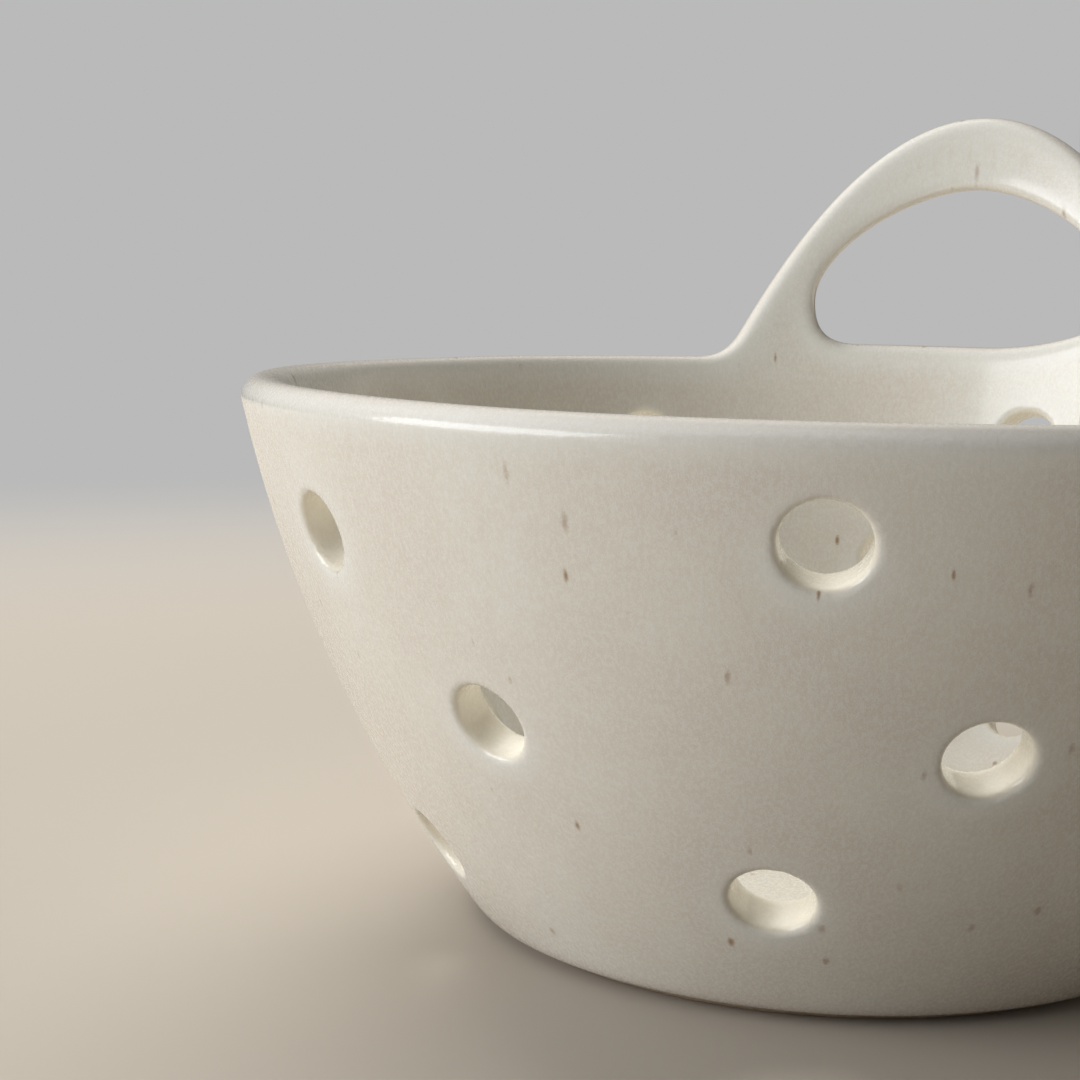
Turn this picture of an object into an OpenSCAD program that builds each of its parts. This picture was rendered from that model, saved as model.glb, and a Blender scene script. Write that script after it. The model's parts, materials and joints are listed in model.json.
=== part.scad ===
// Berry colander bowl: a flaring stoneware bowl with drain holes and one loop handle.
// The bowl's axis is Z, the table is z = 0 and the handle stands at +Y.

/* [Bowl] */
// Outer diameter at the lip
rim_d = 200; // [170:1:240]
// Height of the lip above the table
rim_h = 90.5; // [80:0.5:120]
// Outer diameter of the wall where its curve would meet the table
base_d = 118; // [106:1:130]
// How far the wall bows out from a straight line between base and lip
wall_bow = 5.3; // [3:0.1:9]
// Thickness of the clay wall, lip and handle
wall_t = 6; // [5:0.1:8]
// Height of the lip band on top of the wall
lip_h = 6.5; // [4:0.5:10]
// Rounding of the lip's and the handle's edges
edge_r = 2.2; // [1:0.1:2.4]

/* [Foot and floor] */
// How far the foot ring is set in from the base
foot_inset = 2; // [1:0.5:4]
// Width of the foot ring
foot_w = 9; // [6:0.5:14]
// Height of the foot ring, up to the floor
foot_h = 4; // [3:0.5:6]
// How far the foot ring stands out below the wall
foot_reveal = 1.5; // [0.5:0.1:2.5]
// Rounding of the wall's lower edge
base_edge_r = 2; // [1:0.1:3]
// Thickness of the floor
floor_t = 6; // [4:0.5:8]

/* [Drain holes] */
// Diameter of a drain hole
drain_d = 12.5; // [8:0.5:14]
// Holes in each row round the wall
row_count = 7; // [4:1:8]
// Drop from the lip to the top row, on the outer face
top_row_drop = 18.1; // [16:0.1:24]
// Height of the low row above the table, on the outer face
low_row_h = 19.8; // [19:0.1:24]
// Turn of the top row's first hole from the side opposite the handle, in degrees
top_row_turn = 15.3; // [0:0.1:45]
// Turn of the middle row's first hole, in degrees
mid_row_turn = 31.8; // [0:0.1:45]
// Turn of the low row's first hole, in degrees
low_row_turn = 9.3; // [0:0.1:45]
// Holes in the floor's ring, round one at the centre
floor_row_count = 6; // [4:1:7]

/* [Handle] */
// Width of the handle where its legs meet the lip, along the wall
handle_w = 100; // [88:1:120]
// Height of the handle above the lip
handle_h = 51.7; // [46:0.1:70]
// Sweep of each leg into the lip
handle_sweep = 6; // [3:0.5:12]
// Width of each leg beside the finger opening, measured at the lip
leg_w = 19.2; // [15:0.2:24]
// Height of the grip over the finger opening
grip_h = 16; // [12:0.2:20]
// Height of the opening's widest place above the lip
opening_shoulder = 12; // [8:0.5:16]
// Height of the opening's lower edge above the lip
opening_sill = 3.1; // [1:0.1:6]

/* [Hidden] */
$fn = 180;
glaze = "#E4DDCD";
bare_clay = "#B79C7C";

// How far cuts run past the faces that they go through
overrun = 4;
// Rounding left on the handle's edges where it meets the wall and the lip
arris_r = 0.05;
// Points along the arch, the sweep, the lower edge and a rounded edge of the handle
arch_steps = 16;
sweep_steps = 6;
sill_steps = 8;
round_steps = 4;
face_steps = 3;

// Pull of the curves that draw the handle, as shares of the sizes that they follow
arch_crown_share = 0.38;
arch_leg_share = 0.31;
arch_leg_rise_share = 0.52;
opening_crown_share = 0.41;
opening_side_share = 0.42;
corner_path_share = 0.6;
// The opening's lower corners, one cut tight and one slack: reach along the lower edge, and pull
tight_reach_share = 0.29;
slack_reach_share = 0.88;
tight_pull_share = 0.72;
slack_pull_share = 0.5;
// The most of the wall's thickness that the rounding of an edge takes
edge_most_share = 0.45;
// Place of the middle row between the low one and the top one, and of the floor's ring inside the foot ring
mid_row_share = 0.494;
floor_row_share = 0.69;

// Places by hand of the holes in each row, [along, up], as shares of a hole's diameter
top_nudge_shares = [
    [-0.03, 0.22], [0.1, 0.08], [-0.12, -0.14], [0.06, 0.1],
    [0.12, -0.06], [-0.1, 0.12], [0.04, -0.22],
];
mid_nudge_shares = [
    [-0.24, 0.03], [0.08, -0.1], [-0.25, 0.08], [0.1, 0.12],
    [-0.08, -0.08], [0.14, 0.06], [0.24, -0.04],
];
low_nudge_shares = [
    [0.13, 0.21], [-0.06, 0.04], [0.1, -0.12], [-0.12, 0.1],
    [0.05, -0.04], [0.1, 0.12], [-0.14, -0.22],
];
top_row_h = rim_h - top_row_drop;
mid_row_h = low_row_h + mid_row_share * (top_row_h - low_row_h);
rows = [
    [top_row_h, top_row_turn, top_nudge_shares],
    [mid_row_h, mid_row_turn, mid_nudge_shares],
    [low_row_h, low_row_turn, low_nudge_shares],
];

// The outer face is one arc from the base to the lip: its radius and its centre beside the axis
rim_r = rim_d / 2;
base_r = base_d / 2;
round_r = min(edge_r, edge_most_share * wall_t);
arc_rise = rim_h - round_r;
chord = norm([rim_r - base_r, arc_rise]);
arc_r = (chord * chord / 4 + wall_bow * wall_bow) / (2 * wall_bow);
arc_x = (base_r + rim_r) / 2 - (arc_r - wall_bow) * arc_rise / chord;
arc_z = arc_rise / 2 + (arc_r - wall_bow) * (rim_r - base_r) / chord;

// Radius of a face of the wall at a height, for the outer arc or the inner one
function face_r(r, z) = arc_x + sqrt(r * r - (z - arc_z) * (z - arc_z));
inner_arc_r = arc_r - wall_t;
inside_r = inner_arc_r + round_r;
outside_r = arc_r - round_r;

// Slope of the wall's normal at the lip and at the rounding of its lower edge
lip_turn = asin((rim_h - round_r - arc_z) / inside_r);
base_turn = asin((foot_reveal + base_edge_r - arc_z) / (arc_r - base_edge_r));
base_edge_x = arc_x + (arc_r - base_edge_r) * cos(base_turn);
foot_r = base_r - foot_inset;

// The flat joint between the wall below and the lip and handle above
joint_z = rim_h - lip_h;
joint_in_r = face_r(inner_arc_r, joint_z);
joint_out_r = face_r(arc_r, joint_z);
joint_mid_r = (joint_in_r + joint_out_r) / 2;
lean = (arc_z - joint_z) / (joint_mid_r - arc_x);
handle_end = handle_w / 2 + handle_sweep;
function turn_of(u) = u / joint_mid_r * 180 / PI;

// A circle about the arc's centre
module arc_disc(r) translate([arc_x, arc_z]) circle(r);

// Everything of a section that lies between two heights
module between(low, high) translate([0, low]) square([rim_d, high - low]);

// The wall's section: the shell between the arcs, with a rounded lower edge and a seat for the foot ring
module wall_section() {
    reach = 2 * arc_r;
    difference() {
        union() {
            intersection() {
                arc_disc(arc_r);
                translate([arc_x, arc_z])
                    polygon([[0, 0], [reach * cos(base_turn), reach * sin(base_turn)], [reach, 0]]);
                between(0, joint_z);
            }
            translate([base_edge_x, foot_reveal + base_edge_r]) circle(base_edge_r);
            translate([0, foot_reveal]) square([base_edge_x, base_edge_r + foot_h]);
        }
        arc_disc(inner_arc_r);
        square([foot_r, foot_h]);
    }
}

// The lip's section: the top of the shell, closed by a flattened round
module lip_section() {
    intersection() {
        difference() {
            arc_disc(arc_r);
            arc_disc(inner_arc_r);
        }
        translate([arc_x, arc_z]) rotate(lip_turn) translate([0, -arc_r]) square([2 * arc_r, arc_r]);
        between(joint_z, rim_h);
    }
    translate([arc_x, arc_z]) rotate(lip_turn) {
        translate([inside_r, 0]) circle(round_r);
        translate([outside_r, 0]) circle(round_r);
        translate([inside_r, 0]) square([outside_r - inside_r, round_r]);
    }
}

// One drain hole, square to the wall, at a turn from the front and a height on the outer face
module drain(turn, z) {
    slope = asin((z - arc_z) / arc_r);
    rotate(turn - 90) translate([arc_x, 0, arc_z]) rotate([0, 90 - slope, 0])
        translate([0, 0, inner_arc_r - overrun]) cylinder(d = drain_d, h = wall_t + 2 * overrun);
}

// One row of drain holes, each a little off its even place
module drain_row(z, first_turn, nudge_shares) {
    for (i = [0 : row_count - 1]) {
        nudge = nudge_shares[i % len(nudge_shares)] * drain_d;
        drain(first_turn + i * 360 / row_count + nudge[0] / face_r(arc_r, z) * 180 / PI, z + nudge[1]);
    }
}

// The bare ring that the bowl stands on
module foot_ring() {
    color(bare_clay) rotate_extrude() translate([foot_r - foot_w, 0]) square([foot_w, foot_h]);
}

// The floor, which fills the wall's inner face above the foot ring
module floor() {
    color(glaze) difference() {
        rotate_extrude() intersection() {
            arc_disc(inner_arc_r);
            between(foot_h, foot_h + floor_t);
        }
        translate([0, 0, foot_h - overrun]) {
            cylinder(d = drain_d, h = floor_t + 2 * overrun);
            for (i = [0 : floor_row_count - 1])
                rotate(i * 360 / floor_row_count) translate([floor_row_share * (foot_r - foot_w), 0, 0])
                    cylinder(d = drain_d, h = floor_t + 2 * overrun);
        }
    }
}

// The bowed wall and its three rows of drain holes
module wall() {
    color(glaze) difference() {
        rotate_extrude() wall_section();
        for (row = rows) drain_row(row[0], row[1], row[2]);
    }
}

// The lip, open where the handle stands
module rim_lip() {
    gap = turn_of(handle_end);
    color(glaze) rotate(90 + gap) rotate_extrude(angle = 360 - 2 * gap) lip_section();
}

// A point of a cubic curve
function curve(p, t) =
    pow(1 - t, 3) * p[0] + 3 * t * pow(1 - t, 2) * p[1] + 3 * t * t * (1 - t) * p[2] + pow(t, 3) * p[3];
function between_points(a, b, t) = a + (b - a) * t;

// Outlines of the handle, one side of it at a time, as [along the wall, height]
leg = [handle_w / 2, rim_h];
arch = [
    [0, rim_h + handle_h],
    [arch_crown_share * handle_w / 2, rim_h + handle_h],
    [(1 - arch_leg_share) * handle_w / 2, rim_h + arch_leg_rise_share * handle_h],
    leg,
];
arch_end_share = 1 - handle_sweep / norm(leg - arch[2]) / 3;
arch_end = curve(arch, arch_end_share);
lip_end = [handle_end, rim_h];
opening_half = handle_w / 2 - leg_w;
opening_top = handle_h - grip_h;
opening_arch = [
    [0, rim_h + opening_top],
    [opening_crown_share * opening_half, rim_h + opening_top],
    [opening_half, rim_h + between_points(opening_shoulder, opening_top, opening_side_share)],
    [opening_half, rim_h + opening_shoulder],
];
function corner(reach_share, pull_share) = [
    [opening_half, rim_h + opening_shoulder],
    [opening_half, rim_h + between_points(opening_shoulder, opening_sill, pull_share)],
    [opening_half * (1 - reach_share * (1 - pull_share)), rim_h + opening_sill],
    [opening_half * (1 - reach_share), rim_h + opening_sill],
];

// Lower edge of the opening from its widest place to the middle
function sill_point(reach_share, pull_share, s) =
    s < corner_path_share
        ? curve(corner(reach_share, pull_share), s / corner_path_share)
        : between_points([opening_half * (1 - reach_share), rim_h + opening_sill], [0, rim_h + opening_sill],
            (s - corner_path_share) / (1 - corner_path_share));

// Pairs of points across the handle, [on the opening, on the outside, rounding outside], from the crown down
low_steps = sweep_steps + 1 + sill_steps;
function side_pairs(reach_share, pull_share) = concat(
    [for (i = [0 : arch_steps])
        [curve(opening_arch, i / arch_steps), curve(arch, arch_end_share * i / arch_steps), round_r]],
    [for (i = [1 : sweep_steps])
        let (t = i / sweep_steps)
        [sill_point(reach_share, pull_share, i / low_steps),
            pow(1 - t, 2) * arch_end + 2 * t * (1 - t) * leg + t * t * lip_end, round_r]],
    [for (i = [0 : sill_steps])
        [sill_point(reach_share, pull_share, (sweep_steps + 1 + i) / low_steps),
            [handle_end * (1 - i / sill_steps), joint_z], arris_r]]
);

// A point of the handle: the slab follows the wall round and leans out with it
function slab_point(u, z, across) =
    let (r = joint_mid_r + lean * (z - joint_z) + across * (joint_out_r - joint_in_r) / wall_t)
    [r * sin(turn_of(u)), r * cos(turn_of(u)), z];

// One ring across the handle: out along the outer face, round the outside, back, and round the opening
function quarter(r, from) =
    [for (i = [0 : round_steps]) r * [sin(from + 90 * i / round_steps), cos(from + 90 * i / round_steps)]];
function section_points(length, in_r, out_r) =
    let (half = wall_t / 2, far = length - out_r)
    concat(
        [for (i = [1 : face_steps - 1]) [between_points(in_r, far, i / face_steps), half]],
        [for (q = quarter(out_r, 0)) [far, half - out_r] + q],
        [for (q = quarter(out_r, 90)) [far, out_r - half] + q],
        [for (i = [1 : face_steps - 1]) [between_points(far, in_r, i / face_steps), -half]],
        [for (q = quarter(in_r, 180)) [in_r, in_r - half] + q],
        [for (q = quarter(in_r, 270)) [in_r, half - in_r] + q]
    );
function handle_ring(pair, side) =
    let (run = pair[1] - pair[0], length = norm(run))
    [for (p = section_points(length, round_r, pair[2]))
        let (q = pair[0] + run * p[0] / length)
        slab_point(side * q[0], q[1], p[1])];

// The loop handle: rings round its opening, joined into one closed slab
module handle() {
    slack_side = side_pairs(slack_reach_share, slack_pull_share);
    tight_side = side_pairs(tight_reach_share, tight_pull_share);
    rings = concat(
        [for (i = [0 : len(slack_side) - 1]) handle_ring(slack_side[i], 1)],
        [for (i = [len(tight_side) - 2 : -1 : 1]) handle_ring(tight_side[i], -1)]
    );
    ring_size = len(rings[0]);
    points = [for (ring = rings) each ring];
    faces = [
        for (i = [0 : len(rings) - 1], k = [0 : ring_size - 1])
            let (a = i * ring_size, b = (i + 1) % len(rings) * ring_size, n = (k + 1) % ring_size)
            each [[a + k, b + k, b + n], [a + k, b + n, a + n]]
    ];
    color(glaze) polyhedron(points, faces);
}

foot_ring();
floor();
wall();
rim_lip();
handle();
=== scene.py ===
import json
import math

import bmesh
import bpy
from mathutils import Matrix, Vector, noise

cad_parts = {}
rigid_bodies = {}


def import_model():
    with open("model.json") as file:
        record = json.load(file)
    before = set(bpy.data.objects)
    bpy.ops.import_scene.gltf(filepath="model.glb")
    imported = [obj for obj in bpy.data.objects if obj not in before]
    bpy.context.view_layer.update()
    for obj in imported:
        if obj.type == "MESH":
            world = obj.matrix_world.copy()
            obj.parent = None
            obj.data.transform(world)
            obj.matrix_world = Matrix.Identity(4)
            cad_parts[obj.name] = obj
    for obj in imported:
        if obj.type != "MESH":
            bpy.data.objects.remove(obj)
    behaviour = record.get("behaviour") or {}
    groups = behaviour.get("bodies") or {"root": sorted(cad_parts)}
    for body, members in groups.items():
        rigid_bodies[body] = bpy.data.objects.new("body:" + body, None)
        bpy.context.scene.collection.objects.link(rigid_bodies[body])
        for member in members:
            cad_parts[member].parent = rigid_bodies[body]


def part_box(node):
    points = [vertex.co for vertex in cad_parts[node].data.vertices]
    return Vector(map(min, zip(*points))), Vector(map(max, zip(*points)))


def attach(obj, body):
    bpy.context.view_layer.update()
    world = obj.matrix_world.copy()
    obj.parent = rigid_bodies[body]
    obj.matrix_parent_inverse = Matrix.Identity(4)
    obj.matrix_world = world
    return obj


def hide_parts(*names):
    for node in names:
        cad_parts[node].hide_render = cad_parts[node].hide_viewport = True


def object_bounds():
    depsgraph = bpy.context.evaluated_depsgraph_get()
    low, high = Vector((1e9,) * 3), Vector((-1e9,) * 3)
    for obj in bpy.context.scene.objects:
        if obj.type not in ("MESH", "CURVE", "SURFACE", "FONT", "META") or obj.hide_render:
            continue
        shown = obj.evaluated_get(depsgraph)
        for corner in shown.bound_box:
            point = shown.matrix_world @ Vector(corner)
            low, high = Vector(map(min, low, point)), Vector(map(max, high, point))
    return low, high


# Nothing of the startup file stays beside the frame
for startup_object in list(bpy.data.objects):
    bpy.data.objects.remove(startup_object)

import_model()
cad_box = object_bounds()

bl_info = {
    "name": "Berry Colander Bowl",
    "version": (1, 0, 0),
    "blender": (4, 5, 0),
    "location": "3D View > Sidebar > Colander",
    "description": "Throws, pierces and glazes a stoneware berry colander with one loop handle",
    "category": "Add Mesh",
}

BODY = "root"
THROWN_BODY = "thrown_body"
BENCH_PREFIX = "bench."

# Edges that turn by more than this stay sharp
SHARP_ANGLE = math.radians(50)

# Share of the solid wall's reveal at the foot, since the surface draws in from its sizes by the wobble
REVEAL_SHARE = 0.6

lip_low, lip_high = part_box("rim_lip")
wall_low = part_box("wall")[0]
floor_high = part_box("floor")[1]
foot_low, foot_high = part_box("foot_ring")
handle_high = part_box("handle")[1]


# Properties

def length(name, description, default):
    """A size in metres."""
    return bpy.props.FloatProperty(
        name=name, description=description, default=default, unit="LENGTH", precision=5)


def share(name, description, default):
    """A share of another size, or of a full effect."""
    return bpy.props.FloatProperty(
        name=name, description=description, default=default, subtype="FACTOR", min=0.0, max=1.0)


def angle(name, description, degrees):
    """An angle, given in degrees."""
    return bpy.props.FloatProperty(
        name=name, description=description, default=math.radians(degrees), subtype="ANGLE")


def colour(name, description, default):
    """A linear colour."""
    return bpy.props.FloatVectorProperty(
        name=name, description=description, default=default, subtype="COLOR", size=3, min=0.0, max=1.0)


def count(name, description, default):
    """A whole number."""
    return bpy.props.IntProperty(name=name, description=description, default=default, min=1)


def power(name, description, default):
    """The power of a lamp in watts."""
    return bpy.props.FloatProperty(name=name, description=description, default=default, unit="POWER")


class BowlSizes(bpy.types.PropertyGroup):
    """Sizes of the thrown bowl, its lip, floor and foot."""

    rim_d: length("Rim diameter", "Outer diameter at the lip", 0.2)
    rim_h: length("Rim height", "Height of the lip above the table", lip_high.z)
    base_d: length("Base diameter", "Outer diameter where the wall's curve would meet the table", 0.118)
    wall_bow: length("Wall bow", "How far the wall bows out between base and lip", 0.0053)
    wall_t: length("Wall thickness", "Thickness of wall, lip and handle before the surface draws in", 0.007)
    edge_r: length("Edge rounding", "Rounding of the lip's edges", 0.0022)
    joint_h: length("Joint height", "Height of the joint under the lip and the handle", lip_low.z)
    reveal: length("Foot reveal", "How far the foot ring shows below the wall", REVEAL_SHARE * wall_low.z)
    floor_h: length("Floor height", "Height of the floor's upper face", floor_high.z)
    foot_h: length("Foot height", "Height of the foot ring", foot_high.z)
    foot_d: length("Foot diameter", "Outer diameter of the foot ring", foot_high.x - foot_low.x)
    foot_w: length("Foot width", "Width of the foot ring", 0.009)
    foot_edge_r: length("Foot edge", "Rounding of the foot ring's edges", 0.0012)
    core_d: length("Floor seam", "Diameter of the seam between floor and wall", 0.1)
    lip_bevel: length("Lip bevel", "Height of the sloping band round the lip's outer edge", 0.0027)
    bevel_soft: length("Bevel softness", "Reach of the rounding along the bevel's edges", 0.0012)
    lip_soft: length("Lip softness", "Reach of the rounding along the lip's edges", 0.0036)
    handle_soft: length("Handle softness", "Reach of the rounding along the handle's edges", 0.0044)
    base_soft: length("Base softness", "Reach of the rounding along the wall's lower edge", 0.0028)
    inside_soft: length("Inside softness", "Reach of the curve between the floor and the wall", 0.018)
    wobble: length("Wobble", "How far the hand-made surface strays, and draws in from its sizes", 0.0003)
    wobble_pitch: length("Wobble pitch", "Length of one stray in the surface", 0.07)
    cell: length("Cell", "Size of the cells that the surface is drawn from", 0.0007)
    thinning: share("Thinning", "Share of the faces that stay after thinning", 0.33)


class DrainSizes(bpy.types.PropertyGroup):
    """Sizes and places of the drain holes."""

    drain_d: length("Drain diameter", "Diameter of a drain hole at its mouth", 0.0125)
    flare: length("Flare", "How far a hole's mouth stands out all round from its bore", 0.0006)
    drain_soft: length("Drain softness", "Reach of the rounding round a hole's mouth", 0.0018)
    drill: length("Drill length", "Length of the drill line through each hole", 0.03)
    row_count: count("Row count", "Holes in each row round the wall", 7)
    top_drop: length("Top row drop", "Drop from the lip to the top row", 0.0186)
    low_h: length("Low row height", "Height of the low row", 0.0193)
    mid_share: share("Middle row", "Place of the middle row between the low and the top one", 0.494)
    top_turn: angle("Top row turn", "Turn of the top row's first hole", 15.3)
    mid_turn: angle("Middle row turn", "Turn of the middle row's first hole", 31.8)
    low_turn: angle("Low row turn", "Turn of the low row's first hole", 9.3)
    floor_count: count("Floor count", "Holes in the floor's ring, round one at the centre", 6)
    floor_share: share("Floor ring", "Place of the floor's ring inside the foot ring", 0.69)


class HandleSizes(bpy.types.PropertyGroup):
    """Sizes of the loop handle and its finger opening."""

    handle_w: length("Handle width", "Width where the legs meet the lip", 0.1)
    handle_h: length("Handle height", "Height above the lip", handle_high.z - lip_high.z)
    sweep: length("Sweep", "Sweep of each leg into the lip", 0.006)
    leg_w: length("Leg width", "Width of each leg beside the opening", 0.0192)
    grip_h: length("Grip height", "Height of the grip over the opening", 0.016)
    shoulder: length("Shoulder", "Height of the opening's widest place above the lip", 0.012)
    sill: length("Sill", "Height of the opening's lower edge above the lip", 0.0031)


class GlazeLook(bpy.types.PropertyGroup):
    """Colours and finish of the ivory glaze."""

    ivory: colour("Ivory", "Main colour", (0.765, 0.73, 0.63))
    veil: colour("Veil", "Cool white where the glaze is thick", (0.83, 0.82, 0.765))
    blush: colour("Blush", "Warm tone where the clay shows through", (0.71, 0.63, 0.55))
    # The bore colour is lighter than the ivory: painted light on the bores of the drain holes
    bore: colour("Bore", "Warm cream inside the drain holes", (0.87, 0.82, 0.70))
    iron: colour("Iron", "Iron specks", (0.33, 0.19, 0.09))
    roughness: share("Roughness", "Roughness of the satin surface", 0.26)
    coat: share("Coat", "Weight of the clear gloss over the satin", 0.4)
    coat_roughness: share("Coat roughness", "Roughness of the clear gloss", 0.1)
    speck_gap: length("Speck spacing", "Width of the cells that may each hold a speck", 0.004)
    speck_size: length("Speck size", "Reach of the largest speck from its middle", 0.00085)
    speck_stretch: bpy.props.FloatProperty(
        name="Speck stretch", description="Height of a speck in its widths", default=4.6)
    speck_bare: share("Speck bareness", "Share of the cells that hold no speck", 0.54)


class ClayLook(bpy.types.PropertyGroup):
    """Colours and finish of the bare foot ring; its main colour is darkened as painted shade of the gap
    under the wall.
    """

    # Main colour: the clay's own tone, darkened as painted shade of the shadowed gap under the wall's foot
    shaded_buff: colour("Buff", "Main colour", (0.36, 0.26, 0.17))
    pale: colour("Pale", "Dry, sanded places", (0.46, 0.35, 0.24))
    grog: colour("Grog", "Dark grains in the clay", (0.2, 0.11, 0.06))
    grog_gap: length("Grog spacing", "Width of the cells that may each hold a grain", 0.0024)
    grog_size: length("Grog size", "Reach of the largest grain from its middle", 0.0005)
    grog_bare: share("Grog bareness", "Share of the cells that hold no grain", 0.45)


class StageLook(bpy.types.PropertyGroup):
    """Floor, backdrop and lamps."""

    floor: colour("Floor", "Colour of the floor", (0.50, 0.45, 0.385))
    backdrop: colour("Backdrop", "Colour behind the object", (0.49, 0.49, 0.49))
    ambient: share("Ambient", "Strength of the light from all round", 0.07)
    window_power: power("Window power", "Large soft lamp on the left", 19.2)
    ceiling_power: power("Ceiling power", "Large soft lamp overhead", 5.5)
    fill_power: power("Fill power", "Soft lamp behind, without gloss", 18.5)
    side_power: power("Side power", "Low soft lamp on the right", 1.8)


PROPERTY_GROUPS = {
    "colander_bowl": BowlSizes,
    "colander_drains": DrainSizes,
    "colander_handle": HandleSizes,
    "colander_glaze": GlazeLook,
    "colander_clay": ClayLook,
    "colander_stage": StageLook,
}

# How far each hole strays from its even place in its row, (along, up), as shares of a hole's diameter
TOP_NUDGE_SHARES = (
    (-0.03, 0.22), (0.1, 0.08), (-0.12, -0.14), (0.06, 0.1), (0.12, -0.06), (-0.1, 0.12), (0.04, -0.22))
MID_NUDGE_SHARES = (
    (-0.24, 0.03), (0.08, -0.1), (-0.25, 0.08), (0.1, 0.12), (-0.08, -0.08), (0.14, 0.06), (0.24, -0.04))
LOW_NUDGE_SHARES = (
    (0.13, 0.21), (-0.06, 0.04), (0.1, -0.12), (-0.12, 0.1), (0.05, -0.04), (0.1, 0.12), (-0.14, -0.22))

# Pull of the curves that draw the handle, as shares of the sizes that they follow
ARCH_CROWN_SHARE = 0.38
ARCH_LEG_SHARE = 0.31
ARCH_LEG_RISE_SHARE = 0.52
OPENING_CROWN_SHARE = 0.41
OPENING_SIDE_SHARE = 0.42
TIGHT_CORNER_SHARES = (0.29, 0.72)
SLACK_CORNER_SHARES = (0.88, 0.5)
CURVE_STEPS = 24


# Node trees

class Value:
    """A number that a node tree works out. Sums and products of it become Math nodes."""

    def __init__(self, tree, socket):
        self.tree = tree
        self.socket = socket

    def __add__(self, other):
        return work_out(self.tree, "ADD", self, other)

    def __sub__(self, other):
        return work_out(self.tree, "SUBTRACT", self, other)

    def __rsub__(self, other):
        return work_out(self.tree, "SUBTRACT", other, self)

    def __mul__(self, other):
        return work_out(self.tree, "MULTIPLY", self, other)

    def __truediv__(self, other):
        return work_out(self.tree, "DIVIDE", self, other)

    def __neg__(self):
        return work_out(self.tree, "MULTIPLY", self, -1.0)


def feed(tree, socket, value):
    """Links a value to a socket, or sets it there."""
    if isinstance(value, Value):
        tree.links.new(value.socket, socket)
    elif isinstance(value, bpy.types.NodeSocket):
        tree.links.new(value, socket)
    else:
        socket.default_value = value


def add_node(tree, kind, inputs=None, **settings):
    """Adds a node, with its settings and its inputs by name or number."""
    node = tree.nodes.new(kind)
    for name, value in settings.items():
        setattr(node, name, value)
    for key, value in (inputs or {}).items():
        feed(tree, node.inputs[key], value)
    return node


def work_out(tree, operation, *terms):
    """Adds a Math node and returns its value."""
    node = add_node(tree, "ShaderNodeMath", dict(enumerate(terms)), operation=operation)
    return Value(tree, node.outputs[0])


def split(tree, vector):
    """The three parts of a vector."""
    node = add_node(tree, "ShaderNodeSeparateXYZ", {"Vector": vector})
    return [Value(tree, socket) for socket in node.outputs]


def join(tree, x, y, z):
    """A vector from its three parts."""
    return add_node(tree, "ShaderNodeCombineXYZ", {"X": x, "Y": y, "Z": z}).outputs["Vector"]


def vector_sum(tree, first, second):
    """The sum of two vectors."""
    return add_node(tree, "ShaderNodeVectorMath", {0: first, 1: second}, operation="ADD").outputs["Vector"]


def ease(tree, value, low, high):
    """0 up to low, 1 from high on, and smooth between. Low may be the greater one."""
    node = add_node(
        tree, "ShaderNodeMapRange", {"Value": value, "From Min": low, "From Max": high},
        interpolation_type="SMOOTHSTEP")
    return Value(tree, node.outputs["Result"])


def noise_at(tree, place, scale, detail=2.0, roughness=0.5):
    """A soft noise between 0 and 1 at a place."""
    node = add_node(
        tree, "ShaderNodeTexNoise",
        {"Vector": place, "Scale": scale, "Detail": detail, "Roughness": roughness})
    return Value(tree, node.outputs["Fac"])


def new_tree(name, kind, inputs, outputs):
    """A node group with named sockets, the outputs of its input node and the inputs of its output node."""
    tree = bpy.data.node_groups.new(name, kind)
    for label, socket_type in inputs:
        tree.interface.new_socket(label, in_out="INPUT", socket_type=socket_type)
    for label, socket_type in outputs:
        tree.interface.new_socket(label, in_out="OUTPUT", socket_type=socket_type)
    given = tree.nodes.new("NodeGroupInput").outputs
    made = tree.nodes.new("NodeGroupOutput").inputs
    return tree, given, made


def set_inputs(modifier, values):
    """Sets a node modifier's inputs by the identifiers of their sockets."""
    for item in modifier.node_group.interface.items_tree:
        if item.in_out == "INPUT" and item.name in values:
            modifier[item.identifier] = values[item.name]


# Sizes that the trees share

# Inputs of the trees that take a helper object, with the helper's name
BENCH_INPUTS = {"Drains": "drains", "Outline": "outline"}


def bowl_arc():
    """Radius and centre, beside the axis, of the arc that is the wall's outer face."""
    bowl = bpy.context.scene.colander_bowl
    rim_r = bowl.rim_d / 2
    base_r = bowl.base_d / 2
    rise = bowl.rim_h - bowl.edge_r
    chord = math.hypot(rim_r - base_r, rise)
    arc_r = (chord ** 2 / 4 + bowl.wall_bow ** 2) / (2 * bowl.wall_bow)
    arc_x = (base_r + rim_r) / 2 - (arc_r - bowl.wall_bow) * rise / chord
    arc_z = rise / 2 + (arc_r - bowl.wall_bow) * (rim_r - base_r) / chord
    return arc_r, arc_x, arc_z


def arc_radius(height, depth):
    """Distance from the axis to the wall at a height, at a depth below its outer face."""
    arc_r, arc_x, arc_z = bowl_arc()
    return arc_x + math.sqrt((arc_r - depth) ** 2 - (height - arc_z) ** 2)


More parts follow.
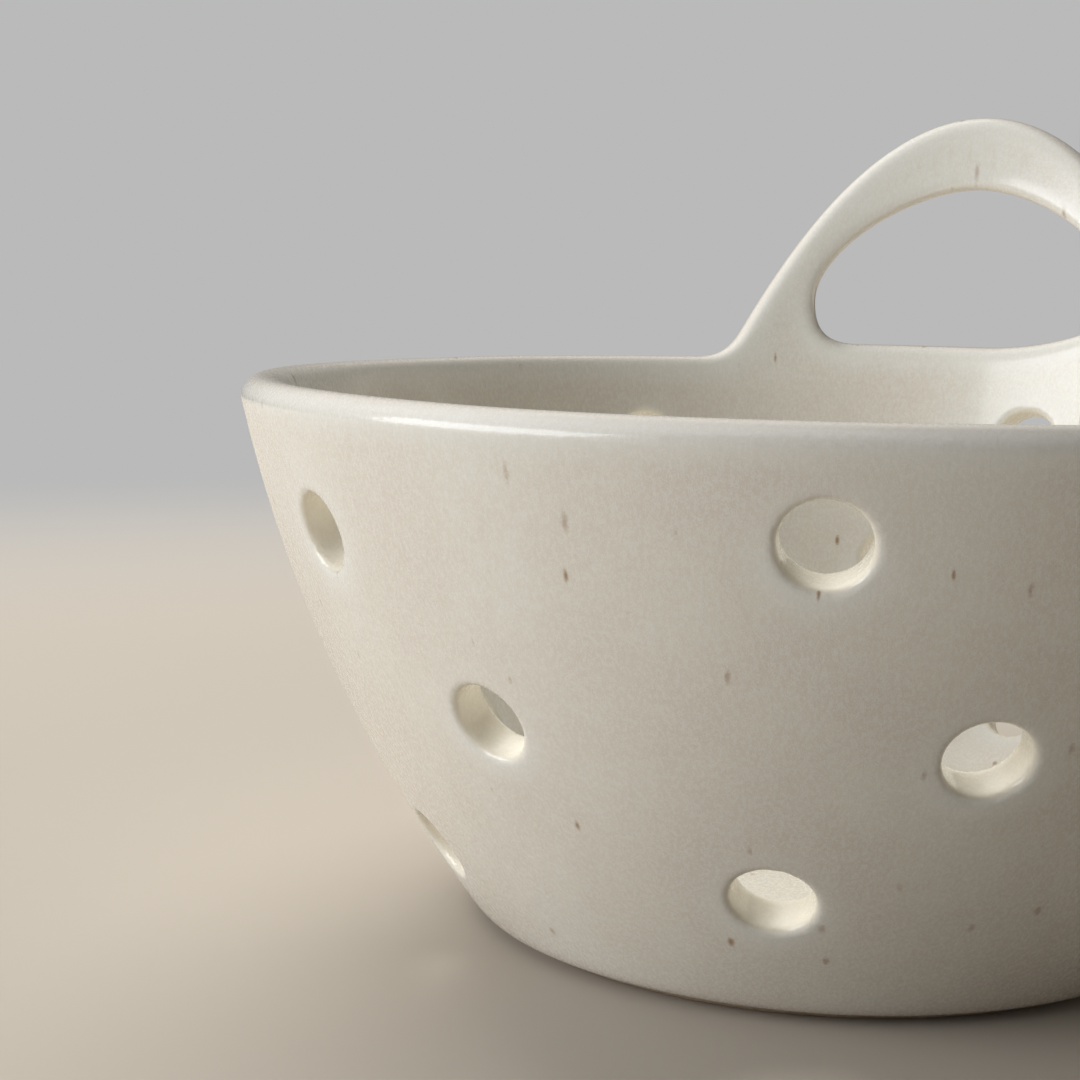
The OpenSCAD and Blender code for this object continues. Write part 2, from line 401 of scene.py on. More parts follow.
def clay_sizes():
    """Every size that the trees of the clay take, by the name of its input."""
    bowl = bpy.context.scene.colander_bowl
    drains = bpy.context.scene.colander_drains
    arc_r, arc_x, arc_z = bowl_arc()
    joint_r = arc_radius(bowl.joint_h, bowl.wall_t / 2)
    lean = (arc_z - bowl.joint_h) / (joint_r - arc_x)
    return {
        "Arc radius": arc_r - bowl.wall_t / 2,
        "Arc centre radius": arc_x,
        "Arc centre height": arc_z,
        "Wall thickness": bowl.wall_t,
        "Joint height": bowl.joint_h,
        "Joint radius": joint_r,
        "Lean": lean,
        "Squareness": 1 / math.hypot(1, lean),
        "Rim height": bowl.rim_h,
        "Floor height": bowl.floor_h,
        "Foot height": bowl.foot_h,
        "Foot radius": bowl.foot_d / 2,
        "Foot reveal": bowl.reveal,
        "Lip bevel": bowl.lip_bevel,
        "Bevel softness": bowl.bevel_soft,
        "Lip softness": bowl.lip_soft,
        "Handle softness": bowl.handle_soft,
        "Base softness": bowl.base_soft,
        "Inside softness": bowl.inside_soft,
        "Drain softness": drains.drain_soft,
        "Drain radius": drains.drain_d / 2 - drains.flare,
        "Drill length": drains.drill,
        "Wobble": bowl.wobble,
        "Wobble scale": 1 / bowl.wobble_pitch,
    }


def clay_sockets():
    """The inputs that all trees of the clay have: two helper objects, and the sizes."""
    helpers = [(name, "NodeSocketObject") for name in BENCH_INPUTS]
    return helpers + [(name, "NodeSocketFloat") for name in clay_sizes()]


def clay_inputs():
    """What those inputs are set to."""
    return clay_sizes() | {name: bench(helper) for name, helper in BENCH_INPUTS.items()}


# Drain holes and handle outline

def drain_places():
    """The place of each drain hole, in the middle of the clay, and the way its drill points."""
    bowl = bpy.context.scene.colander_bowl
    drains = bpy.context.scene.colander_drains
    arc_r, arc_x, arc_z = bowl_arc()
    top_h = bowl.rim_h - drains.top_drop
    mid_h = drains.low_h + drains.mid_share * (top_h - drains.low_h)
    rows = (
        (top_h, drains.top_turn, TOP_NUDGE_SHARES),
        (mid_h, drains.mid_turn, MID_NUDGE_SHARES),
        (drains.low_h, drains.low_turn, LOW_NUDGE_SHARES),
    )
    places = []
    for height, first_turn, nudge_shares in rows:
        for i in range(drains.row_count):
            along, up = nudge_shares[i % len(nudge_shares)]
            turn = first_turn + math.tau * i / drains.row_count
            turn += along * drains.drain_d / arc_radius(height, 0)
            slope = math.asin((height + up * drains.drain_d - arc_z) / arc_r)
            out = Vector((math.sin(turn), -math.cos(turn), 0))
            aim = out * math.cos(slope) + Vector((0, 0, math.sin(slope)))
            centre = out * arc_x + Vector((0, 0, arc_z))
            places.append((centre + aim * (arc_r - bowl.wall_t / 2), aim))
    ring_r = drains.floor_share * (bowl.foot_d / 2 - bowl.foot_w)
    up = Vector((0, 0, 1))
    middle = up * (bowl.foot_h + bowl.floor_h) / 2
    places.append((middle, up))
    for i in range(drains.floor_count):
        turn = math.tau * i / drains.floor_count
        places.append((middle + ring_r * Vector((math.cos(turn), math.sin(turn), 0)), up))
    return places


def curve(a, b, c, d):
    """Points of a cubic curve, without the last one."""
    points = []
    for i in range(CURVE_STEPS):
        t = i / CURVE_STEPS
        s = 1 - t
        points.append(a * s ** 3 + b * 3 * t * s * s + c * 3 * t * t * s + d * t ** 3)
    return points


def straight(a, b):
    """Points of a straight line, without the last one."""
    return [a.lerp(b, i / CURVE_STEPS) for i in range(CURVE_STEPS)]


def arch_half(side):
    """The handle's outside from the crown down one leg and round its sweep, along the wall and up."""
    bowl = bpy.context.scene.colander_bowl
    handle = bpy.context.scene.colander_handle
    half = handle.handle_w / 2
    top = bowl.rim_h + handle.handle_h
    crown = Vector((0, top))
    crown_pull = Vector((side * ARCH_CROWN_SHARE * half, top))
    leg_rise = ARCH_LEG_RISE_SHARE * handle.handle_h
    leg_pull = Vector((side * (1 - ARCH_LEG_SHARE) * half, bowl.rim_h + leg_rise))
    leg = Vector((side * half, bowl.rim_h))
    down = curve(crown, crown_pull, leg_pull, leg)
    end = leg + (leg_pull - leg).normalized() * handle.sweep
    kept = [p for p in down if p.y > end.y]
    lip_end = Vector((side * (half + handle.sweep), bowl.rim_h))

    # Both pulls at two thirds of the way to the corner give a plain, even sweep
    pull_share = 2 / 3
    return kept + curve(end, end.lerp(leg, pull_share), lip_end.lerp(leg, pull_share), lip_end)


def opening_half(side, reach_share, pull_share):
    """One side of the finger opening, from the crown down and along the lower edge to the middle."""
    bowl = bpy.context.scene.colander_bowl
    handle = bpy.context.scene.colander_handle
    half = handle.handle_w / 2 - handle.leg_w
    top = bowl.rim_h + handle.handle_h - handle.grip_h
    shoulder = bowl.rim_h + handle.shoulder
    sill = bowl.rim_h + handle.sill
    widest = Vector((side * half, shoulder))
    side_pull = Vector((side * half, shoulder + OPENING_SIDE_SHARE * (top - shoulder)))
    crown_pull = Vector((side * OPENING_CROWN_SHARE * half, top))
    corner_pull = Vector((side * half, shoulder + pull_share * (sill - shoulder)))
    sill_pull = Vector((side * half * (1 - reach_share * (1 - pull_share)), sill))
    sill_end = Vector((side * half * (1 - reach_share), sill))
    arch = curve(Vector((0, top)), crown_pull, side_pull, widest)
    return arch + curve(widest, corner_pull, sill_pull, sill_end) + [sill_end]


def mirror_loop(right, left):
    """One closed loop of points from a right and a left half that share their first place."""
    return right + left[:0:-1]


def outline_loops():
    """The unrolled edge of the lip and handle, closed far below, and the loop of the finger opening."""
    bowl = bpy.context.scene.colander_bowl
    handle = bpy.context.scene.colander_handle
    low_middle = Vector((0, -bowl.rim_h / 2))
    halves = []
    for side in (1, -1):
        lip_start = Vector((side * (handle.handle_w / 2 + handle.sweep), bowl.rim_h))
        lip_end = Vector((side * math.pi * bowl.rim_d / 2, bowl.rim_h))
        low_end = Vector((lip_end.x, low_middle.y))
        lip = straight(lip_start, lip_end)
        halves.append(arch_half(side) + lip + straight(lip_end, low_end) + straight(low_end, low_middle))
    right, left = halves
    opening = mirror_loop(opening_half(1, *SLACK_CORNER_SHARES), opening_half(-1, *TIGHT_CORNER_SHARES))
    return mirror_loop(right + [low_middle], left), opening


# Helper objects, which leave the scene before the end

def bench_object(name, mesh):
    """An object that only helps to shape others."""
    helper = bpy.data.objects.new(BENCH_PREFIX + name, mesh)
    bpy.context.scene.collection.objects.link(helper)
    return helper


def drain_bench():
    """One point for each drain hole, with the way its drill points."""
    places = drain_places()
    mesh = bpy.data.meshes.new(BENCH_PREFIX + "drains")
    mesh.from_pydata([place for place, aim in places], [], [])
    aims = mesh.attributes.new("aim", "FLOAT_VECTOR", "POINT")
    for item, (place, aim) in zip(aims.data, places):
        item.vector = aim
    bench_object("drains", mesh)


def outline_bench():
    """The unrolled outline of the lip, the handle and its opening, as flat loops of edges."""
    verts = []
    edges = []
    for loop in outline_loops():
        first = len(verts)
        verts += [(p.x, p.y, 0) for p in loop]
        edges += [(first + i, first + (i + 1) % len(loop)) for i in range(len(loop))]
    mesh = bpy.data.meshes.new(BENCH_PREFIX + "outline")
    mesh.from_pydata(verts, edges, [])
    bench_object("outline", mesh)


def prism_bench(name, corners, low, high):
    """A straight-sided block over a flat outline, to cut with."""
    total = len(corners)
    verts = [(x, y, z) for z in (low, high) for x, y in corners]
    faces = [tuple(reversed(range(total))), tuple(range(total, 2 * total))]
    for i in range(total):
        after = (i + 1) % total
        faces.append((i, after, total + after, total + i))
    mesh = bpy.data.meshes.new(BENCH_PREFIX + name)
    mesh.from_pydata(verts, [], faces)
    block = bench_object(name, mesh)
    block.hide_render = True


# Geometry Nodes of the clay

# What the distance group gives for the glaze, with the attribute that keeps it
GLAZE_DEPTHS = {"Drain gap": "drain_gap", "Drain rise": "drain_rise", "Edge depth": "edge_depth"}


def drill_lines(tree, given):
    """A line through the clay at each drain hole."""
    points = add_node(tree, "GeometryNodeObjectInfo", {"Object": given["Drains"]}).outputs["Geometry"]
    aim = add_node(tree, "GeometryNodeInputNamedAttribute", {"Name": "aim"}, data_type="FLOAT_VECTOR")
    turn = add_node(
        tree, "FunctionNodeAlignRotationToVector", {"Vector": aim.outputs["Attribute"]}, axis="Z")
    reach = Value(tree, given["Drill length"])
    start = join(tree, 0.0, 0.0, reach / -2.0)
    along = join(tree, 0.0, 0.0, reach)
    line = add_node(tree, "GeometryNodeMeshLine", {"Count": 2, "Start Location": start, "Offset": along})
    lines = add_node(
        tree, "GeometryNodeInstanceOnPoints",
        {"Points": points, "Instance": line.outputs["Mesh"], "Rotation": turn.outputs["Rotation"]})
    return add_node(tree, "GeometryNodeRealizeInstances", {"Geometry": lines.outputs[0]}).outputs[0]


def nearest(tree, target, element, place):
    """Distance and place of the nearest part of a target."""
    node = add_node(
        tree, "GeometryNodeProximity", {"Geometry": target, "Sample Position": place},
        target_element=element)
    return Value(tree, node.outputs["Distance"]), node.outputs["Position"]


def edge_distance(tree, given, place):
    """Distance past the edge of the lip, handle and opening, measured on the unrolled wall."""
    x, y, z = split(tree, place)
    along = work_out(tree, "ARCTAN2", x, y) * given["Joint radius"]
    flat = join(tree, along, z, 0.0)
    loops = add_node(tree, "GeometryNodeObjectInfo", {"Object": given["Outline"]}).outputs["Geometry"]
    curves = add_node(tree, "GeometryNodeMeshToCurve", {"Mesh": loops}).outputs["Curve"]
    filled = add_node(tree, "GeometryNodeFillCurve", {"Curve": curves}, mode="TRIANGLES").outputs["Mesh"]
    to_edge = nearest(tree, loops, "EDGES", flat)[0]
    off_face = nearest(tree, filled, "FACES", flat)[0]

    # A place within a hair of the filled outline lies on it
    hair = 5e-5
    side = work_out(tree, "GREATER_THAN", off_face, hair) * 2.0 - 1.0
    return to_edge * side


def clay_distance_tree():
    """The group that gives a place's distance from the clay's surface, less than zero inside it."""
    tree, given, made = new_tree(
        "Distance to the clay", "GeometryNodeTree",
        [("Place", "NodeSocketVector")] + clay_sockets(),
        [(name, "NodeSocketFloat") for name in ("Distance", *GLAZE_DEPTHS)])
    size = {name: Value(tree, given[name]) for name in clay_sizes()}
    stray = add_node(
        tree, "ShaderNodeTexNoise",
        {"Vector": given["Place"], "Scale": size["Wobble scale"], "Detail": 1.0}).outputs["Color"]
    shift = add_node(
        tree, "ShaderNodeVectorMath", {0: stray, 1: size["Wobble"] * 2.0, 2: -size["Wobble"]},
        operation="MULTIPLY_ADD").outputs["Vector"]
    place = vector_sum(tree, given["Place"], shift)
    x, y, z = split(tree, place)
    radius = work_out(tree, "SQRT", x * x + y * y)

    # The wall follows its arc up to the joint, and the lip and handle lean on straight from there
    arc_x = radius - size["Arc centre radius"]
    arc_z = z - size["Arc centre height"]
    from_arc = work_out(tree, "SQRT", arc_x * arc_x + arc_z * arc_z) - size["Arc radius"]
    over_joint = z - size["Joint height"]
    from_slab = (radius - size["Joint radius"] - size["Lean"] * over_joint) * size["Squareness"]
    above = work_out(tree, "GREATER_THAN", over_joint, 0.0)
    through = from_arc + above * (from_slab - from_arc)
    half_wall = size["Wall thickness"] * 0.5

    # The hollow is rounded where the wall meets the floor
    hollow = work_out(
        tree, "SMOOTH_MAX", through + half_wall, size["Floor height"] - z, size["Inside softness"])
    shell = work_out(tree, "MAXIMUM", through - half_wall, -hollow)

    # Rounded edges of lip, handle and opening, and of the wall's foot, with a seat for the foot ring
    edge = edge_distance(tree, given, place)
    rise_share = ease(tree, z - size["Rim height"], 0.0, size["Handle softness"] * 2.0)
    softness = size["Lip softness"] + rise_share * (size["Handle softness"] - size["Lip softness"])
    clay = work_out(tree, "SMOOTH_MAX", shell, edge, softness)
    bevel_depth = size["Lip bevel"] * (1.0 - rise_share)
    bevel = (through - half_wall + edge + bevel_depth) * math.sqrt(0.5)
    clay = work_out(tree, "SMOOTH_MAX", clay, bevel, size["Bevel softness"])
    clay = work_out(tree, "SMOOTH_MAX", clay, size["Foot reveal"] - z, size["Base softness"])
    seat = work_out(tree, "MINIMUM", size["Foot radius"] - radius, size["Foot height"] - z)
    clay = work_out(tree, "MAXIMUM", clay, seat)

    # Drain holes with soft mouths
    to_axis, axis_place = nearest(tree, drill_lines(tree, given), "EDGES", place)
    drain_gap = to_axis - size["Drain radius"]
    clay = work_out(tree, "SMOOTH_MAX", clay, -drain_gap, size["Drain softness"])
    feed(tree, made["Distance"], clay + size["Wobble"])
    feed(tree, made["Drain gap"], drain_gap)
    feed(tree, made["Drain rise"], z - split(tree, axis_place)[2])
    feed(tree, made["Edge depth"], -edge)
    return tree


def clay_here(tree, given, distance_tree):
    """The distance group, at the place of each point, with the tree's own sizes."""
    here = add_node(tree, "GeometryNodeInputPosition").outputs["Position"]
    node = add_node(tree, "GeometryNodeGroup", node_tree=distance_tree)
    feed(tree, node.inputs["Place"], here)
    for name, socket_type in clay_sockets():
        feed(tree, node.inputs[name], given[name])
    return node


def throwing_tree(distance_tree):
    """The tree that fills the clay's surface with a mesh and settles the mesh on it."""
    tree, given, made = new_tree(
        "Thrown and pierced body", "GeometryNodeTree",
        clay_sockets() + [
            ("Low corner", "NodeSocketVector"), ("High corner", "NodeSocketVector"),
            ("Cells X", "NodeSocketInt"), ("Cells Y", "NodeSocketInt"), ("Cells Z", "NodeSocketInt"),
            ("Material", "NodeSocketMaterial")],
        [("Geometry", "NodeSocketGeometry")])
    clay = clay_here(tree, given, distance_tree)
    distance = Value(tree, clay.outputs["Distance"])
    block = add_node(
        tree, "GeometryNodeVolumeCube",
        {"Density": -distance, "Background": -1.0, "Min": given["Low corner"], "Max": given["High corner"]}
        | {f"Resolution {side}": given[f"Cells {side}"] for side in "XYZ"})
    skin = add_node(
        tree, "GeometryNodeVolumeToMesh",
        {"Volume": block.outputs["Volume"], "Threshold": 0.0}).outputs["Mesh"]
    normal = add_node(tree, "GeometryNodeInputNormal").outputs["Normal"]
    step = add_node(
        tree, "ShaderNodeVectorMath", {0: normal, "Scale": -distance}, operation="SCALE").outputs["Vector"]
    settle_steps = 3
    for _ in range(settle_steps):
        moved = add_node(tree, "GeometryNodeSetPosition", {"Geometry": skin, "Offset": step})
        skin = moved.outputs["Geometry"]
    finish_tree(tree, given, made, skin)
    return tree


def glaze_depth_tree(distance_tree):
    """The tree that notes on a piece how far each point is from the drain holes and the edges."""
    tree, given, made = new_tree(
        "Glaze depths", "GeometryNodeTree",
        [("Geometry", "NodeSocketGeometry")] + clay_sockets() + [("Material", "NodeSocketMaterial")],
        [("Geometry", "NodeSocketGeometry")])
    clay = clay_here(tree, given, distance_tree)
    piece = given["Geometry"]
    for output, attribute in GLAZE_DEPTHS.items():
        piece = add_node(
            tree, "GeometryNodeStoreNamedAttribute",
            {"Geometry": piece, "Name": attribute, "Value": clay.outputs[output]}).outputs["Geometry"]
    finish_tree(tree, given, made, piece)
    return tree


def finish_tree(tree, given, made, geometry):
    """Ends a tree with realized geometry, smooth faces and the piece's material."""
    real = add_node(tree, "GeometryNodeRealizeInstances", {"Geometry": geometry}).outputs["Geometry"]
    smooth = add_node(tree, "GeometryNodeSetShadeSmooth", {"Geometry": real}).outputs["Geometry"]
    painted = add_node(tree, "GeometryNodeSetMaterial", {"Geometry": smooth, "Material": given["Material"]})
    feed(tree, made["Geometry"], painted.outputs["Geometry"])


def settled_mesh(piece):
    """The mesh that a piece's modifiers make, as a plain mesh."""
    graph = bpy.context.evaluated_depsgraph_get()
    return bpy.data.meshes.new_from_object(piece.evaluated_get(graph))


def bench(name):
    """A helper object that was made before."""
    return bpy.data.objects[BENCH_PREFIX + name]


def throw_body():
    """Makes the mesh of the whole glazed body, before it is parted at the clay's joints."""
    bowl = bpy.context.scene.colander_bowl
    drain_bench()
    outline_bench()
    distance_tree = clay_distance_tree()
    glaze_depth_tree(distance_tree)
    wheel = bench_object("wheel", bpy.data.meshes.new(BENCH_PREFIX + "wheel"))
    margin_cells = 4
    margin = Vector((1, 1, 1)) * margin_cells * bowl.cell
    low = cad_box[0] - margin
    high = cad_box[1] + margin
    cell = bowl.cell * 1
    cells = [math.ceil(side / cell) for side in high - low]
    modifier = wheel.modifiers.new("Throwing", "NODES")
    modifier.node_group = throwing_tree(distance_tree)
    set_inputs(modifier, clay_inputs() | {
        "Low corner": low, "High corner": high, "Material": ivory_glaze(),
        "Cells X": cells[0], "Cells Y": cells[1], "Cells Z": cells[2]})
    thin = wheel.modifiers.new("Thinning", "DECIMATE")
    thin.ratio = bowl.thinning
    body = settled_mesh(wheel)
    body.name = THROWN_BODY


def cutting_blocks():
    """The blocks that part the body: all above the joint, the handle's wedge and the floor's core."""
    bowl = bpy.context.scene.colander_bowl
    handle = bpy.context.scene.colander_handle
    far = bowl.rim_d
    top = cad_box[1].z + bowl.rim_h
    below = -bowl.rim_h
    turn = (handle.handle_w / 2 + handle.sweep) / clay_sizes()["Joint radius"]
    wedge_x = far * math.sin(turn)
    wedge_y = far * math.cos(turn)
    wedge = [(0, 0), (wedge_x, wedge_y), (-wedge_x, wedge_y)]
    core_steps = 180
    core_r = bowl.core_d / 2
    core_turns = [math.tau * i / core_steps for i in range(core_steps)]
    core = [(core_r * math.cos(step), core_r * math.sin(step)) for step in core_turns]
    square = [(-far, -far), (far, -far), (far, far), (-far, far)]
    prism_bench("above", square, bowl.joint_h, top)
    prism_bench("wedge", wedge, bowl.joint_h, top)
    prism_bench("tall_wedge", wedge, below, top)
    prism_bench("core", core, below, bowl.joint_h)


def glazed_piece(name, node, cuts):
    """Parts one piece from the body, notes its glaze depths and puts it on the bowl."""
    piece = bpy.data.objects.new(name, bpy.data.meshes[THROWN_BODY].copy())
    bpy.context.scene.collection.objects.link(piece)
    for operation, block in cuts:
        cut = piece.modifiers.new(block, "BOOLEAN")
        cut.operation = operation
        cut.solver = "MANIFOLD"
        cut.object = bench(block)
    modifier = piece.modifiers.new("Glaze depths", "NODES")
    modifier.node_group = bpy.data.node_groups["Glaze depths"]
    set_inputs(modifier, clay_inputs() | {"Material": ivory_glaze()})
    mesh = settled_mesh(piece)
    mesh.name = name
    piece.modifiers.clear()
    piece.data = mesh
    mesh.set_sharp_from_angle(angle=SHARP_ANGLE)
    put_on_bowl(piece, node)


def put_on_bowl(piece, node):
    """Rides a piece on the bowl's body, in place of its CAD node."""
    if not piece.data.polygons:
        raise RuntimeError(f"{piece.name} has no faces")
    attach(piece, BODY)
    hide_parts(node)


# Foot ring

def arc_points(centre_x, centre_z, radius, from_degrees, to_degrees):
    """Points of a round corner in a section."""
    steps = 6
    points = []
    for i in range(steps + 1):
        turn = math.radians(from_degrees + (to_degrees - from_degrees) * i / steps)
        points.append((centre_x + radius * math.cos(turn), centre_z + radius * math.sin(turn)))
    return points


def foot_section():
    """The foot ring's section: a band with rounded lower edges, flat where it meets the floor."""
    bowl = bpy.context.scene.colander_bowl
    outer = bowl.foot_d / 2
    inner = outer - bowl.foot_w
    r = bowl.foot_edge_r
    lower_inner = arc_points(inner + r, r, r, 180, 270)
    lower_outer = arc_points(outer - r, r, r, 270, 360)
    return lower_inner + lower_outer + [(outer, bowl.foot_h), (inner, bowl.foot_h)]


def foot_ring_mesh():
    """Turns the foot ring's section round the axis, with the slight unevenness of a sponged edge."""
    bowl = bpy.context.scene.colander_bowl
    section = foot_section()
    turns = 240
    stray = 0.00012
    pitch = 0.006
    shape = bmesh.new()
    rings = []
    for i in range(turns):
        turn = math.tau * i / turns
        ring = []
        for r, z in section:
            place = Vector((r * math.cos(turn), r * math.sin(turn), z))
            if 0 < z < bowl.foot_h:
                middle = Vector((math.cos(turn), math.sin(turn), 0)) * (bowl.foot_d - bowl.foot_w) / 2
                inward = (middle + Vector((0, 0, bowl.foot_h / 2)) - place).normalized()
                place += inward * stray * (1 + noise.noise(place / pitch))
            ring.append(shape.verts.new(place))
        rings.append(ring)
    total = len(section)
    for i in range(turns):
        here = rings[i]
        after = rings[(i + 1) % turns]
        for k in range(total):
            shape.faces.new((here[k], after[k], after[(k + 1) % total], here[(k + 1) % total]))
    bmesh.ops.recalc_face_normals(shape, faces=shape.faces)
    for face in shape.faces:
        face.smooth = True
    mesh = bpy.data.meshes.new("bare_foot_ring")
    shape.to_mesh(mesh)
    shape.free()
    mesh.set_sharp_from_angle(angle=SHARP_ANGLE)
    return mesh


# Materials

# Fineness of the patterns, as repeats in a metre
CLOUDS_PER_M = 32.0
MOTTLES_PER_M = 420.0
GRAINS_PER_M = 1800.0
RUNS_PER_M = 900.0
RUN_BREAKS_PER_M = 60.0
RAGS_PER_M = 2500.0
CLAY_GRAINS_PER_M = 900.0
FLOOR_CLOUDS_PER_M = 3.0

# Where a layer of the glaze starts and where it is full, as values of its noise
CLOUD_BLUSH_SPAN = (0.42, 0.66)
CLOUD_VEIL_SPAN = (0.52, 0.34)
GRAIN_SPAN = (0.38, 0.62)

# The same in metres: from the edge of lip and handle, from a bore, above a bore's middle and above the foot
LIP_BAND_SPAN = (0.0055, 0.0015)
LIP_CREST_SPAN = (0.0016, 0.0004)
POOL_SPAN = (0.0055, 0.0005)
# Painted light in the bores fades in over this span from a bore
BORE_LIGHT_SPAN = (0.0012, 0.0004)
HANG_SPAN = (0.004, -0.006)
FOOT_BAND_SPAN = (0.005, 0.001)

# How far the runs and the pools stray, in metres
RUN_STRAY = 0.004
POOL_STRAY = 0.002

# How much of its colour a layer shows
CLOUD_BLUSH_SHARE = 0.5
CLOUD_VEIL_SHARE = 0.4
MOTTLE_SHARE = 0.3
GRAIN_SHARE = 0.5
LIP_BAND_SHARE = 0.6
LIP_CREST_SHARE = 0.5
POOL_SHARE = 0.2
HANG_SHARE = 0.5
FOOT_BAND_SHARE = 0.5
CLAY_PALE_SHARE = 0.7
FLOOR_CLOUD_SHARE = 0.06

# Grain: its coarse part, the fineness of the rest, and how far it is drawn out downwards on the glaze
COARSE_SHARE = 0.6
FINE_RATIO = 4.0
GRAIN_SQUASH = 0.5

# Specks: the smallest and the faintest beside the others, the full core, and the ragged edge
SPECK_LEAST_SHARE = 0.3
SPECK_FAINT_SHARE = 0.5
SPECK_CORE_SHARE = 0.1
RAG_LEAST = 0.55
RAG_RANGE = 0.9

# Surfaces: how much the grain changes the roughness, and the depth of the relief
GLAZE_ROUGHNESS_RANGE = 0.08
GLAZE_IOR = 1.5
GLAZE_FINE_RELIEF = 0.25
GLAZE_RELIEF = {"Strength": 0.25, "Distance": 0.0002}
CLAY_LEAST_ROUGHNESS = 0.78
CLAY_ROUGHNESS_RANGE = 0.12
CLAY_RELIEF = {"Strength": 0.5, "Distance": 0.0004}
FLOOR_ROUGHNESS = 0.9


def shader_group(name, inputs, outputs):
    """A shader node group, built once. Its inputs and outputs are None when it is there already."""
    if name in bpy.data.node_groups:
        return bpy.data.node_groups[name], None, None
    return new_tree(name, "ShaderNodeTree", inputs, outputs)


def grain_group():
    """Soft grain in two sizes: a mask from 0 to 1 and a height."""
    tree, given, made = shader_group(
        "Grain", [("Vector", "NodeSocketVector"), ("Scale", "NodeSocketFloat")],
        [("Mask", "NodeSocketFloat"), ("Height", "NodeSocketFloat")])
    if given:
        scale = Value(tree, given["Scale"])
        coarse = noise_at(tree, given["Vector"], scale, detail=3.0, roughness=0.6)
        fine = noise_at(tree, given["Vector"], scale * FINE_RATIO)
        both = coarse * COARSE_SHARE + fine * (1 - COARSE_SHARE)
        feed(tree, made["Mask"], ease(tree, both, *GRAIN_SPAN))
        feed(tree, made["Height"], both)
    return tree


def speck_group():
    """Sparse specks, drawn out along Z: a mask."""
    tree, given, made = shader_group(
        "Specks",
        [("Vector", "NodeSocketVector"), ("Spacing", "NodeSocketFloat"), ("Size", "NodeSocketFloat"),
         ("Stretch", "NodeSocketFloat"), ("Bareness", "NodeSocketFloat")],
        [("Mask", "NodeSocketFloat")])
    if given:
        x, y, z = split(tree, given["Vector"])
        spacing = Value(tree, given["Spacing"])
        cell_place = join(tree, x / spacing, y / spacing, z / (spacing * given["Stretch"]))
        cells = add_node(tree, "ShaderNodeTexVoronoi", {"Vector": cell_place, "Scale": 1.0})
        chance, width, depth = split(tree, cells.outputs["Color"])
        chosen = work_out(tree, "GREATER_THAN", chance, given["Bareness"])
        size = Value(tree, given["Size"]) / spacing * (width * (1 - SPECK_LEAST_SHARE) + SPECK_LEAST_SHARE)
        rag = noise_at(tree, given["Vector"], RAGS_PER_M) * RAG_RANGE + RAG_LEAST
        reach = Value(tree, cells.outputs["Distance"]) * rag
        strength = depth * (1 - SPECK_FAINT_SHARE) + SPECK_FAINT_SHARE
        feed(tree, made["Mask"], ease(tree, reach, size, size * SPECK_CORE_SHARE) * chosen * strength)
    return tree


def grain_at(tree, place, scale):
    """The mask and the height of the grain at a place."""
    node = add_node(tree, "ShaderNodeGroup", {"Vector": place, "Scale": scale}, node_tree=grain_group())
    return Value(tree, node.outputs["Mask"]), Value(tree, node.outputs["Height"])


def specks_at(tree, place, spacing, size, stretch, bareness):
    """The mask of the specks at a place."""
    node = add_node(
        tree, "ShaderNodeGroup",
        {"Vector": place, "Spacing": spacing, "Size": size, "Stretch": stretch, "Bareness": bareness},
        node_tree=speck_group())
    return Value(tree, node.outputs["Mask"])


def mix_colours(tree, share_of_second, first, second):
    """A colour between two others."""
    node = add_node(tree, "ShaderNodeMix", data_type="RGBA")
    feed(tree, node.inputs["Factor"], share_of_second)
    for socket, value in zip([s for s in node.inputs if s.type == "RGBA"], (first, second)):
        feed(tree, socket, value)
    return next(s for s in node.outputs if s.type == "RGBA")


def rgba(colour_value):
    """A colour with full alpha."""
    return (*colour_value, 1.0)


def noted(tree, attribute):
    """A number that was noted on the piece's points."""
    node = add_node(tree, "ShaderNodeAttribute", attribute_name=attribute)
    return Value(tree, node.outputs["Fac"])


def new_material(name):
    """A material with only a Principled shader, its tree and its object coordinates."""
    material = bpy.data.materials.new(name)
    material.use_nodes = True
    tree = material.node_tree
    shader = next(n for n in tree.nodes if n.type == "BSDF_PRINCIPLED")
    coordinates = add_node(tree, "ShaderNodeTexCoord").outputs["Object"]
    return material, tree, shader, coordinates


def add_relief(tree, shader, height, relief):
    """Bumps a shader's surface by a height."""
    bump = add_node(tree, "ShaderNodeBump", {"Height": height} | relief)
    feed(tree, shader.inputs["Normal"], bump.outputs["Normal"])


